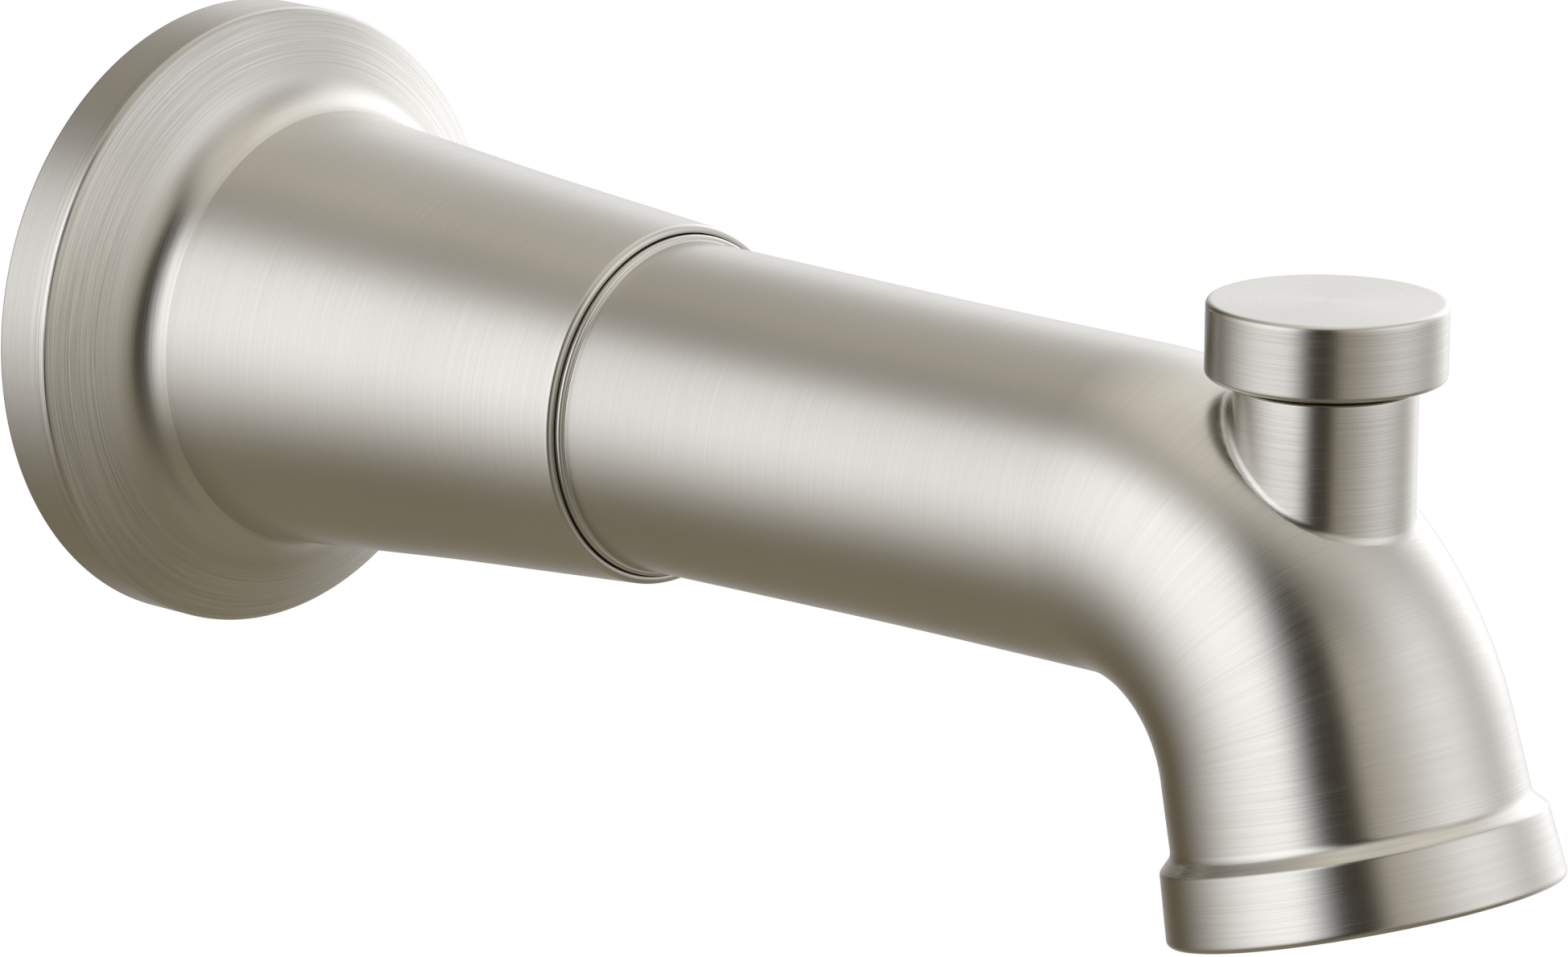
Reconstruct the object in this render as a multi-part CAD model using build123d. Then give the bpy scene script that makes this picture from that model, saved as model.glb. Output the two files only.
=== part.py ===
from build123d import *
import math
import os

# Wall-mounted bath spout with a pull-up diverter. Millimetres, +X out from the wall, +Z up,
# origin at the centre of the flange's back face, on the wall.

# Wall flange and tapered sleeve
flange_radius = 36.4
flange_rim = 7.2
flange_edge_round = 0.9
flange_back_round = 0.3
flange_face_rise = 0.6
flange_fillet = 4.0
sleeve_waist = 44.0
sleeve_waist_radius = 22.63
sleeve_root_taper = 0.096
sleeve_blend = 600.0
sleeve_length = 71.9
sleeve_lip = 0.93
sleeve_edge_round = 0.7
sleeve_mouth_round = 0.2
sleeve_wall = 2.4
flange_wall = 3.0
sleeve_mouth_length = 14.0
gasket_depth = 2.0
gasket_width = 4.0

# Spout tube, elbow and outlet
collar_radius = 19.4
collar_proud = 0.7
collar_round = 0.45
collar_root_round = 0.25
tube_radius = 18.73
tube_length = 67.4
tube_waist = 40.1
tube_waist_radius = 18.07
tube_blend = 1600.0
elbow_start_radius = 17.97
elbow_middle_radius = 18.28
elbow_end_radius = 18.97
elbow_radius = 29.4
elbow_angle = 74.9
nose_straight = 7.4
nose_radius = 19.35
band_radius = 20.82
band_flare = 0.68
band_height = 7.9
band_fillet = 1.6
band_edge_round = 0.7
mouth_chamfer = 1.0
body_wall = 2.6
spigot_radius = 15.6
spigot_length = 20.0
spigot_bore = 12.6
spigot_round = 0.5

# Boss, knob and lift rod
knob_setback = 3.9
boss_radius = 9.75
boss_rise = 0.23
boss_fillet = 1.4
boss_edge_round = 0.3
knob_radius = 12.75
knob_height = 8.1
knob_round = 0.6
knob_gap = 0.55
knob_socket_depth = 5.0
rod_radius = 2.4
lift_travel = 10.0

# Stem bushing in the boss
bushing_flange_radius = 7.4
bushing_flange_height = 2.2
bushing_radius = 6.0
bushing_length = 14.2
seal_section = 1.7
stem_washer_height = 1.2
fitting_round = 0.3

# Diverter valve in the elbow
web_rise = 5.24
web_thickness = 2.5
web_inset = 1.7
seat_radius = 10.2
seat_flange_radius = 11.4
seat_flange_height = 1.2
seat_lip = 1.2
seat_hole_radius = 7.2
gate_radius = 9.0
gate_thickness = 1.8
gate_seal_radius = 8.7
gate_seal_thickness = 2.0
gate_nut_across = 8.0
gate_nut_height = 2.6
disc_round = 0.4

# Inlet adapter with a half-inch pipe thread
inlet_thread_radius = 9.9
inlet_thread_length = 17.0
inlet_mouth = 12.0
adapter_radius = 14.0
adapter_bore = 7.5
adapter_insert = 14.0
adapter_round = 0.5

# Clearances
running_gap = 0.05
seat_gap = 0.1
rest_gap = 0.3

UP = (0, 0, 1)
SIDE = (0, 1, 0)
FILLET_SHARE = 0.9


def axis_plane(origin, direction):
    """Plane whose X axis is a turning axis that lies in the XZ plane of the spout."""
    return Plane(origin=origin, x_dir=direction, z_dir=SIDE)


def turned(corners, place=None):
    """Solid of revolution from closed corners (along, radius, rounding), about the X axis of a place."""
    points = [(along, radius) for along, radius, _ in corners]
    roundings = [rounding for _, _, rounding in corners]
    outline = FilletPolyline(*points, radius=roundings, close=True)
    solid = revolve(Plane.XZ * make_face(outline), Axis.X)
    return place.location * solid if place else solid


def ring(inner, outer, start, end, place=None, rounding=0):
    """Plain turned ring between two radii."""
    corners = [(start, inner, 0), (end, inner, 0), (end, outer, rounding), (start, outer, rounding)]
    return turned(corners, place)


def rod(radius, start, end, place=None, rounding=0):
    """Plain turned bar."""
    corners = [(start, 0, 0), (end, 0, 0), (end, radius, rounding), (start, radius, rounding)]
    return turned(corners, place)


def o_ring(inner, section, along, place=None):
    """Round rubber ring of a section diameter, centred at a station."""
    middle = inner + section / 2
    circle = Plane.XZ * Pos(along, middle) * Circle(section / 2)
    solid = revolve(circle, Axis.X)
    return place.location * solid if place else solid


def fitted_round(rounding, side, bend):
    """Rounding of a corner that bends by an angle, limited to its share of a side."""
    return min(rounding, FILLET_SHARE * side / math.tan(bend / 2))


def fitted_blend(before, corner, after, rounding):
    """Rounding of a shallow corner between two points, limited by the shorter side."""
    bend = abs(
        math.atan2(corner[1] - before[1], corner[0] - before[0])
        - math.atan2(after[1] - corner[1], after[0] - corner[0])
    )
    return fitted_round(rounding, min(math.dist(before, corner), math.dist(corner, after)), bend)


# Stations and frames that the pieces share
turn = math.radians(elbow_angle)
elbow_start = sleeve_length + tube_length
outlet_dir = (math.cos(turn), 0, -math.sin(turn))
elbow_end = (elbow_start + elbow_radius * math.sin(turn), 0, -elbow_radius * (1 - math.cos(turn)))
elbow_centre = Vector(elbow_start, 0, -elbow_radius)
elbow_path = Edge.make_circle(
    elbow_radius,
    Plane(origin=elbow_centre, x_dir=UP, z_dir=SIDE),
    start_angle=0,
    end_angle=elbow_angle,
)
nose = axis_plane(elbow_end, outlet_dir)
knob_x = elbow_start + elbow_radius - knob_setback
stem = axis_plane((knob_x, 0, 0), UP)
band_start = nose_straight + band_radius - nose_radius
band_end = band_start + band_height
band_end_radius = band_radius + band_flare
collar_end = sleeve_length + collar_proud
spigot_start = sleeve_length - spigot_length
mouth_radius = collar_radius + seat_gap
sleeve_end_radius = mouth_radius + sleeve_lip
mouth_start = sleeve_length - sleeve_mouth_length
boss_top = elbow_start_radius + boss_rise
knob_bottom = boss_top + knob_gap
knob_top = knob_bottom + knob_height
bushing_top = knob_bottom - rest_gap
bushing_bottom = boss_top - bushing_length
web_top = elbow_end[2] + web_rise
seat_bottom = web_top - web_thickness - seat_lip
gate_top = seat_bottom - lift_travel - rest_gap
gate_bottom = gate_top - gate_seal_thickness - gate_thickness
gate_joint = gate_bottom + gate_thickness
rod_bottom = gate_bottom - gate_nut_height
seal_top = bushing_bottom + stem_washer_height + running_gap
ring_station = spigot_start + adapter_insert / 2
sleeve_ring_station = mouth_start - sleeve_wall - seal_section / 2 - running_gap
gasket_inner_radius = flange_radius - gasket_width - flange_wall


def elbow_bar(inset):
    """Bent bar round the elbow's centre line, inset from its skin, whose round section swells to its end."""
    sections = []
    for share, radius in ((0, elbow_start_radius), (0.5, elbow_middle_radius), (1, elbow_end_radius)):
        angle = share * turn
        along = Vector(math.cos(angle), 0, -math.sin(angle))
        centre = elbow_centre + Vector(math.sin(angle), 0, math.cos(angle)) * elbow_radius
        sections.append(Plane(origin=centre, x_dir=SIDE, z_dir=along) * Circle(radius - inset))
    return sweep(sections, path=elbow_path, multisection=True)


def make_flange_sleeve():
    """Turned flange with a conical face that runs out through a fillet into the tapered sleeve."""
    face_drop = flange_radius - sleeve_waist_radius - sleeve_root_taper * sleeve_waist
    root = (flange_rim + flange_face_rise * face_drop) / (1 - flange_face_rise * sleeve_root_taper)
    root_radius = sleeve_waist_radius + sleeve_root_taper * (sleeve_waist - root)
    waist_blend = fitted_blend(
        (root, root_radius),
        (sleeve_waist, sleeve_waist_radius),
        (sleeve_length, sleeve_end_radius),
        sleeve_blend,
    )
    inner_end = root_radius - sleeve_wall - flange_wall
    gasket_outer_radius = gasket_inner_radius + gasket_width
    cavity_end = mouth_start - sleeve_wall
    corners = [
        (0, gasket_inner_radius - flange_wall, 0),
        (0, gasket_inner_radius, 0),
        (gasket_depth, gasket_inner_radius, 0),
        (gasket_depth, gasket_outer_radius, 0),
        (0, gasket_outer_radius, 0),
        (0, flange_radius, flange_back_round),
        (flange_rim, flange_radius, flange_edge_round),
        (root, root_radius, flange_fillet),
        (sleeve_waist, sleeve_waist_radius, waist_blend),
        (sleeve_length, sleeve_end_radius, sleeve_edge_round),
        (sleeve_length, mouth_radius, sleeve_mouth_round),
        (mouth_start, mouth_radius, 0),
        (mouth_start, spigot_radius + seat_gap, 0),
        (cavity_end, spigot_radius + seat_gap, 0),
        (cavity_end, spigot_radius + seal_section + rest_gap, 0),
        (root, inner_end, 0),
    ]
    return turned(corners)


def make_spout_body():
    """Cast spout: collar and spigot, tube, elbow, boss and outlet band, hollow to a wall thickness."""
    waist = (sleeve_length + tube_waist, tube_waist_radius)
    waist_blend = fitted_blend(
        (collar_end, tube_radius), waist, (elbow_start, elbow_start_radius), tube_blend
    )
    tube = turned(
        [
            (spigot_start, 0, 0),
            (elbow_start, 0, 0),
            (elbow_start, elbow_start_radius, 0),
            (*waist, waist_blend),
            (collar_end, tube_radius, collar_root_round),
            (collar_end, collar_radius, collar_round),
            (mouth_start + seat_gap, collar_radius, 0),
            (mouth_start + seat_gap, spigot_radius, 0),
            (spigot_start, spigot_radius, spigot_round),
        ]
    )
    outlet = turned(
        [
            (0, 0, 0),
            (band_end, 0, 0),
            (band_end, band_end_radius, band_edge_round),
            (band_start, band_radius, band_edge_round),
            (nose_straight, nose_radius, band_fillet),
            (0, elbow_end_radius, 0),
        ],
        nose,
    )
    boss_corners = [(web_top, 0, 0), (boss_top, 0, 0), (boss_top, boss_radius, boss_edge_round)]
    boss = turned(boss_corners + [(web_top, boss_radius, 0)], stem)
    shell = tube + elbow_bar(0) + outlet
    shell = shell + boss
    root_run = knob_x - boss_radius - elbow_start
    root_rise = math.sqrt((elbow_radius + elbow_middle_radius) ** 2 - root_run**2)
    root_wall = boss_top - boss_edge_round - (root_rise - elbow_radius)
    root_fillet = fitted_round(boss_fillet, root_wall, math.pi / 2 + math.atan(root_run / root_rise))
    root_edges = [
        edge
        for edge in shell.edges()
        if edge.geom_type not in (GeomType.LINE, GeomType.CIRCLE)
        and all(
            abs(math.hypot(point.X - knob_x, point.Y) - boss_radius) < seat_gap
            for point in edge.positions((0, 0.25, 0.5))
        )
    ]
    shell = fillet(root_edges, root_fillet)

    bore_radius = elbow_start_radius - body_wall
    end_bore = elbow_end_radius - body_wall
    mouth_bore = end_bore + mouth_chamfer
    hollow = turned(
        [
            (spigot_start, 0, 0),
            (elbow_start, 0, 0),
            (elbow_start, bore_radius, 0),
            (sleeve_length, bore_radius, 0),
            (sleeve_length - body_wall, spigot_bore, 0),
            (spigot_start, spigot_bore, 0),
        ]
    )
    mouth = turned(
        [
            (0, 0, 0),
            (band_end, 0, 0),
            (band_end, mouth_bore, 0),
            (band_end - mouth_chamfer, end_bore, 0),
            (0, end_bore, 0),
        ],
        nose,
    )
    hollow = hollow + elbow_bar(body_wall) + mouth
    web_start = elbow_start + web_inset
    reach = elbow_radius + tube_radius - web_inset
    web = Pos(web_start + reach / 2, 0, web_top - web_thickness / 2) * Box(
        reach, 2 * tube_radius, web_thickness
    )
    hollow = hollow - web
    seat_bore = rod(seat_radius + seat_gap, web_top - web_thickness, web_top, stem)
    stem_bore = rod(bushing_radius + seat_gap, 0, boss_top, stem)
    stem_seat = rod(bushing_flange_radius + seat_gap, boss_top - bushing_flange_height, boss_top, stem)
    return shell - hollow - seat_bore - stem_bore - stem_seat


def make_knob():
    """Round pull knob with softened edges and a blind socket for the rod."""
    corners = [
        (knob_bottom, knob_radius, knob_round),
        (knob_top, knob_radius, knob_round),
        (knob_top, 0, 0),
        (knob_bottom + knob_socket_depth, 0, 0),
        (knob_bottom + knob_socket_depth, rod_radius, 0),
        (knob_bottom, rod_radius, 0),
    ]
    return turned(corners, stem)


def make_bushing():
    """Flanged brass guide of the rod, with a counterbore for its rubber ring and washer."""
    flange_bottom = boss_top - bushing_flange_height
    seal_radius = rod_radius + running_gap + seal_section + running_gap
    pocket_top = bushing_bottom + stem_washer_height + seal_section + 2 * running_gap
    corners = [
        (bushing_bottom, seal_radius, 0),
        (bushing_bottom, bushing_radius, fitting_round),
        (flange_bottom, bushing_radius, 0),
        (flange_bottom, bushing_flange_radius, 0),
        (bushing_top, bushing_flange_radius, fitting_round),
        (bushing_top, rod_radius + running_gap, 0),
        (pocket_top, rod_radius + running_gap, 0),
        (pocket_top, seal_radius, 0),
    ]
    return turned(corners, stem)


def make_seat():
    """Brass valve seat in the web, with a flange above and a raised lip below."""
    web_bottom = web_top - web_thickness
    corners = [
        (seat_bottom, seat_hole_radius, fitting_round),
        (web_top + seat_flange_height, seat_hole_radius, fitting_round),
        (web_top + seat_flange_height, seat_flange_radius, fitting_round),
        (web_top, seat_flange_radius, 0),
        (web_top, seat_radius, 0),
        (web_bottom, seat_radius, 0),
        (seat_bottom, seat_hole_radius + seat_lip, 0),
    ]
    return turned(corners, stem)


def make_gate_nut():
    """Hexagon nut under the valve disc."""
    hexagon = RegularPolygon(gate_nut_across / 2, 6, major_radius=False) - Circle(rod_radius)
    return Pos(knob_x, 0, gate_bottom - gate_nut_height) * extrude(hexagon, gate_nut_height)


def make_adapter():
    """Brass inlet: pipe thread bore at the wall end, waterway, and a plug that enters the spigot."""
    shoulder = spigot_start
    thread_end = inlet_mouth + inlet_thread_length
    insert_end = shoulder + adapter_insert
    corners = [
        (inlet_mouth, inlet_thread_radius, 0),
        (thread_end, inlet_thread_radius, 0),
        (thread_end, adapter_bore, 0),
        (insert_end, adapter_bore, fitting_round),
        (insert_end, spigot_bore - running_gap, adapter_round),
        (ring_station + seal_section / 2, spigot_bore - running_gap, 0),
        (ring_station + seal_section / 2, spigot_bore - seal_section, 0),
        (ring_station - seal_section / 2, spigot_bore - seal_section, 0),
        (ring_station - seal_section / 2, spigot_bore - running_gap, 0),
        (shoulder, spigot_bore - running_gap, 0),
        (shoulder, adapter_radius, 0),
        (inlet_mouth, adapter_radius, adapter_round),
    ]
    return turned(corners)


pieces = {
    "flange_sleeve": make_flange_sleeve(),
    "spout_body": make_spout_body(),
    "lift_knob": make_knob(),
    "lift_rod": rod(rod_radius, rod_bottom, knob_bottom + knob_socket_depth, stem, fitting_round),
    "diverter_gate": ring(rod_radius, gate_radius, gate_bottom, gate_joint, stem, disc_round),
    "gate_seal": ring(rod_radius, gate_seal_radius, gate_joint, gate_top, stem, disc_round),
    "gate_nut": make_gate_nut(),
    "stem_bushing": make_bushing(),
    "stem_o_ring": o_ring(rod_radius + running_gap, seal_section, seal_top + seal_section / 2, stem),
    "stem_washer": ring(
        rod_radius + running_gap,
        rod_radius + seal_section + running_gap,
        bushing_bottom,
        bushing_bottom + stem_washer_height,
        stem,
    ),
    "diverter_seat": make_seat(),
    "inlet_adapter": make_adapter(),
    "adapter_o_ring": o_ring(spigot_bore - seal_section, seal_section, ring_station),
    "sleeve_o_ring": o_ring(spigot_radius, seal_section, sleeve_ring_station),
    "wall_gasket": ring(
        gasket_inner_radius + seat_gap,
        gasket_inner_radius + gasket_width - seat_gap,
        0,
        gasket_depth,
    ),
}

os.makedirs("parts", exist_ok=True)
for name, solid in pieces.items():
    export_step(solid, f"parts/{name}.step")
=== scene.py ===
"""Dresses the bath spout: fine turned surfaces, brushed nickel and brass, camera and studio light."""

import logging
import math
from dataclasses import dataclass
from enum import Enum, IntEnum
from typing import Any, Optional, Sequence, Union

import bpy
import numpy as np
from mathutils import Matrix, Vector


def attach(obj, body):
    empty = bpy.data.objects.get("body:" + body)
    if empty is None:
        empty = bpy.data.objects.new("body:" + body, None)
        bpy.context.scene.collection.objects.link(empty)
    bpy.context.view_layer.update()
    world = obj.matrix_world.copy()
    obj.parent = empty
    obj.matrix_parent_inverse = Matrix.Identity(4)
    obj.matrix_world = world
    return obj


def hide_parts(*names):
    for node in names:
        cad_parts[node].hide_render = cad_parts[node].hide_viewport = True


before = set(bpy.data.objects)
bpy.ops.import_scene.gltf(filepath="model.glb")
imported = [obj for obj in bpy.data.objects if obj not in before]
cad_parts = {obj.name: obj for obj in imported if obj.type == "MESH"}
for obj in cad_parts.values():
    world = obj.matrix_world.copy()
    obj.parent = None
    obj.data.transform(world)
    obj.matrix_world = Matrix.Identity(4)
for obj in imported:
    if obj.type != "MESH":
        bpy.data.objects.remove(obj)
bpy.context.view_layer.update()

MM = 0.001
BRUSH = "brush"
GRAIN = "grain"
UV_MAP = "UVMap"
WHITE = "#ffffff"
LOG = logging.getLogger("bath_spout")
# Distance of the pull knob's axis from the wall, in millimetres.
STEM_X = 164.8

Span = tuple[float, float]
Corner = tuple[float, float, float]
Setting = Union[float, Sequence[float], bpy.types.NodeSocket]

# Where most values of a noise pattern lie, and most products of two.
NOISE_SPAN: Span = (0.3, 0.7)
PRODUCT_SPAN: Span = (0.1, 0.4)
# Place of the colour among a Mix node's outputs.
MIXED_COLOUR = 2
# Lengths below this are taken as none, and points that agree to so many digits as one, in millimetres.
TINY = 1e-6
WELD_DIGITS = 5
# Edges that bend more than this stay sharp.
SHARP_ANGLE = math.radians(32)
# Rounds of the two searches for a height and for a wall, enough for either to hold still.
HEIGHT_ROUNDS = 8
HALVINGS = 40


class Body(Enum):
    """The two bodies that the slide joins."""

    SPOUT = "spout"
    DIVERTER = "diverter"


class TurnAxis(Enum):
    """Where a turned piece has its axis."""

    PIPE = "along X, out from the wall"
    STEM = "along Z, through the pull knob"


class MixSocket(IntEnum):
    """Places of the inputs of a Mix node, which holds a pair for each kind of data."""

    SHARE = 0
    FIRST_VALUE = 2
    SECOND_VALUE = 3
    FIRST_COLOUR = 6
    SECOND_COLOUR = 7


def to_linear(colour: str) -> tuple[float, float, float, float]:
    """Turns an sRGB hex colour to linear RGBA.

    Args:
        colour: Hex value such as "#c8c3b9".
    Returns:
        Linear red, green and blue, with full alpha.
    """
    srgb = np.array([int(colour[i : i + 2], 16) for i in (1, 3, 5)]) / 255
    linear = np.where(srgb <= 0.04045, srgb / 12.92, ((srgb + 0.055) / 1.055) ** 2.4)
    return (*linear.tolist(), 1.0)


def add_node(
    tree: bpy.types.NodeTree,
    kind: str,
    inputs: Optional[dict[Union[int, str], Setting]] = None,
    **settings: Any,
) -> bpy.types.Node:
    """Adds one node with its settings, input values and links.

    Args:
        tree: Node tree that takes the node.
        kind: Node type name.
        inputs: Input socket to a value, or to the output socket that feeds it.
        **settings: Node properties.
    Returns:
        The new node.
    """
    node = tree.nodes.new(kind)
    for name, value in settings.items():
        setattr(node, name, value)
    for socket, value in (inputs or {}).items():
        if isinstance(value, bpy.types.NodeSocket):
            tree.links.new(value, node.inputs[socket])
        else:
            node.inputs[socket].default_value = value
    return node


def new_material(name: str) -> tuple[bpy.types.Material, bpy.types.NodeTree]:
    """Makes an empty node material.

    Args:
        name: Material name.
    Returns:
        The material and its node tree.
    """
    material = bpy.data.materials.new(name)
    material.use_nodes = True
    material.node_tree.nodes.clear()
    return material, material.node_tree


def noise(
    tree: bpy.types.NodeTree,
    place: bpy.types.NodeSocket,
    scale: float,
    detail: float,
    roughness: float = 0.5,
) -> bpy.types.NodeSocket:
    """Adds a noise pattern.

    Args:
        tree: Node tree that takes the node.
        place: Coordinates of the pattern.
        scale: Cells to one unit of the coordinates.
        detail: Number of finer patterns on top.
        roughness: Strength of each finer pattern.
    Returns:
        The pattern's value, most of it within NOISE_SPAN.
    """
    inputs = {"Vector": place, "Scale": scale, "Detail": detail, "Roughness": roughness}
    return add_node(tree, "ShaderNodeTexNoise", inputs).outputs["Fac"]


def product(tree: bpy.types.NodeTree, first: Setting, second: Setting) -> bpy.types.NodeSocket:
    """Adds the product of two values."""
    return add_node(tree, "ShaderNodeMath", {0: first, 1: second}, operation="MULTIPLY").outputs[0]


def mapped(
    tree: bpy.types.NodeTree,
    value: bpy.types.NodeSocket,
    span: Span,
    result: Span = (0.0, 1.0),
    **settings: Any,
) -> bpy.types.NodeSocket:
    """Maps one span of values to another, and holds what lies beyond at its ends.

    Args:
        tree: Node tree that takes the node.
        value: Value to map.
        span: Values at the two ends of the span.
        result: What those two values become.
        **settings: Node properties.
    Returns:
        The mapped value.
    """
    ends = {"From Min": span[0], "From Max": span[1], "To Min": result[0], "To Max": result[1]}
    return add_node(tree, "ShaderNodeMapRange", {"Value": value, **ends}, **settings).outputs[0]


def blended(
    tree: bpy.types.NodeTree,
    share: bpy.types.NodeSocket,
    first: Setting,
    second: Setting,
    clamped: bool = True,
) -> bpy.types.NodeSocket:
    """Adds a blend of two colours.

    Args:
        tree: Node tree that takes the node.
        share: Share of the second colour.
        first: Colour where the share is 0.
        second: Colour where the share is 1.
        clamped: Whether a share beyond 0 or 1 is held there.
    Returns:
        The blended colour.
    """
    inputs = {MixSocket.SHARE: share, MixSocket.FIRST_COLOUR: first, MixSocket.SECOND_COLOUR: second}
    mix = add_node(tree, "ShaderNodeMix", inputs, data_type="RGBA", clamp_factor=clamped)
    return mix.outputs[MIXED_COLOUR]


def principled(tree: bpy.types.NodeTree, inputs: dict[Union[int, str], Setting]) -> None:
    """Ends a material's tree in one Principled shader with the given inputs."""
    shader = add_node(tree, "ShaderNodeBsdfPrincipled", inputs)
    add_node(tree, "ShaderNodeOutputMaterial", {"Surface": shader.outputs[0]})


@dataclass(frozen=True)
class BrushedMetal:
    """Metal with a satin brush that runs round each turned form.

    The hair-fine scratches spread a reflection along the piece's axis and keep it narrower round it, so
    that long soft bands follow the form.
    """

    name: str
    bright: str
    dull: str
    roughness: float
    anisotropy: float
    line_mm: float
    stroke_mm: float
    relief_mm: float
    wheel_mm: float = 28.57
    tone_span: Span = (0.12, 0.38)
    middle_tone: float = 0.5
    gloss_change: float = 0.03
    quarter_turn: float = 0.25

    def material(self) -> bpy.types.Material:
        """Builds the material from the piece's own brush attribute, in millimetres round and along it."""
        material, tree = new_material(self.name)
        place = add_node(tree, "ShaderNodeAttribute", attribute_name=BRUSH).outputs["Vector"]
        stretch = (1 / self.stroke_mm, 1 / self.stroke_mm, 1 / self.line_mm)
        lines = add_node(tree, "ShaderNodeMapping", {"Vector": place, "Scale": stretch}).outputs["Vector"]
        fine = noise(tree, lines, 1.0, detail=3.0, roughness=0.7)
        # Broad, faint change of tone from the polishing wheel, tens of millimetres across.
        broad = noise(tree, place, 1 / self.wheel_mm, detail=1.0)
        tone = mapped(tree, product(tree, fine, broad), self.tone_span)
        # A light brush shows only the middle of the change of tone, and a deep one goes beyond both ends.
        depth = add_node(tree, "ShaderNodeAttribute", attribute_name=GRAIN).outputs["Fac"]
        contrast = {
            MixSocket.SHARE: depth,
            MixSocket.FIRST_VALUE: self.middle_tone,
            MixSocket.SECOND_VALUE: tone,
        }
        share = add_node(tree, "ShaderNodeMix", contrast, clamp_factor=False).outputs[0]
        colour = blended(tree, share, to_linear(self.dull), to_linear(self.bright), clamped=False)
        gloss = (self.roughness + self.gloss_change, self.roughness - self.gloss_change)
        relief = {"Height": fine, "Strength": depth, "Distance": self.relief_mm * MM}
        bump = add_node(tree, "ShaderNodeBump", relief)
        tangent = add_node(tree, "ShaderNodeTangent", direction_type="UV_MAP", uv_map=UV_MAP)
        principled(
            tree,
            {
                "Base Color": colour,
                "Metallic": 1.0,
                "Roughness": mapped(tree, fine, NOISE_SPAN, gloss),
                "Anisotropic": self.anisotropy,
                "Anisotropic Rotation": self.quarter_turn,
                "Normal": bump.outputs[0],
                "Tangent": tangent.outputs[0],
            },
        )
        return material


@dataclass(frozen=True)
class TurnedMetal:
    """Plain lathe-turned metal, with the fine rings that the tool leaves across its axis."""

    name: str
    bright: str
    dull: str
    roughness: float
    ring_mm: float
    axis: TurnAxis
    stroke_mm: float = 60.0
    stain_mm: float = 7.0
    duller: float = 0.08
    glossier: float = 0.05
    relief_mm: float = 0.03
    relief_strength: float = 0.4

    def material(self) -> bpy.types.Material:
        """Builds the material from Object coordinates, with the rings square to the turning axis."""
        material, tree = new_material(self.name)
        place = add_node(tree, "ShaderNodeTexCoord").outputs["Object"]
        across, along = 1 / (self.stroke_mm * MM), 1 / (self.ring_mm * MM)
        scale = (along, across, across) if self.axis is TurnAxis.PIPE else (across, across, along)
        lines = add_node(tree, "ShaderNodeMapping", {"Vector": place, "Scale": scale}).outputs["Vector"]
        rings = noise(tree, lines, 1.0, detail=2.0)
        # Dull patches a few millimetres across, where the bare metal has been handled and has met water.
        stain = noise(tree, place, 1 / (self.stain_mm * MM), detail=3.0)
        share = mapped(tree, product(tree, rings, stain), PRODUCT_SPAN)
        gloss = (self.roughness + self.duller, self.roughness - self.glossier)
        relief = {"Height": rings, "Strength": self.relief_strength, "Distance": self.relief_mm * MM}
        principled(
            tree,
            {
                "Base Color": blended(tree, share, to_linear(self.dull), to_linear(self.bright)),
                "Metallic": 1.0,
                "Roughness": mapped(tree, stain, NOISE_SPAN, gloss),
                "Normal": add_node(tree, "ShaderNodeBump", relief).outputs[0],
            },
        )
        return material


@dataclass(frozen=True)
class Moulding:
    """Moulded rubber, foam or plastic, with the fine grain of its mould or its cells."""

    name: str
    light: str
    dark: str
    roughness: float
    ior: float
    grain_mm: float
    relief_mm: float
    cloud_mm: float = 9.0
    gloss_change: float = 0.06
    relief_strength: float = 0.5

    def material(self) -> bpy.types.Material:
        """Builds the material from Object coordinates: a fine grain over slow clouds of tone."""
        material, tree = new_material(self.name)
        place = add_node(tree, "ShaderNodeTexCoord").outputs["Object"]
        grain = noise(tree, place, 1 / (self.grain_mm * MM), detail=2.0)
        cloud = noise(tree, place, 1 / (self.cloud_mm * MM), detail=2.0)
        share = mapped(tree, product(tree, grain, cloud), PRODUCT_SPAN)
        gloss = (self.roughness + self.gloss_change, self.roughness - self.gloss_change)
        relief = {"Height": grain, "Strength": self.relief_strength, "Distance": self.relief_mm * MM}
        principled(
            tree,
            {
                "Base Color": blended(tree, share, to_linear(self.dark), to_linear(self.light)),
                "Roughness": mapped(tree, cloud, NOISE_SPAN, gloss),
                "IOR": self.ior,
                "Normal": add_node(tree, "ShaderNodeBump", relief).outputs[0],
            },
        )
        return material


Finish = Union[BrushedMetal, TurnedMetal, Moulding]

# Real satin scratches are about 0.05 mm apart. They are drawn about six times as coarse, to show here.
NICKEL = BrushedMetal("brushed_nickel_plate", "#d2cfc7", "#c4c1b9", 0.25, 0.3, 0.28, 30.0, 0.02)
BRASS = TurnedMetal("turned_brass", "#d9b56a", "#b08a45", 0.3, 0.35, TurnAxis.PIPE)
# Stem brass is made much darker than bare brass so the gap under the pull knob reads as a dark line:
# painted shade in the gap, not tarnish.
STEM_BRASS = TurnedMetal("brass_darkened_as_painted_shade", "#84704a", "#5e4d2e", 0.46, 0.35, TurnAxis.STEM)
STEEL = TurnedMetal("turned_stainless_steel", "#cfcfcd", "#b3b3b1", 0.26, 0.3, TurnAxis.STEM)
RUBBER = Moulding("moulded_black_rubber", "#2b2b2a", "#1c1c1b", 0.6, 1.52, 0.4, 0.01)
FOAM = Moulding("closed_cell_foam", "#4b4a48", "#333231", 0.85, 1.45, 0.7, 0.08)
ACETAL = Moulding("moulded_white_acetal", "#e9e7e0", "#d6d3ca", 0.42, 1.48, 0.5, 0.008)


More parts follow.
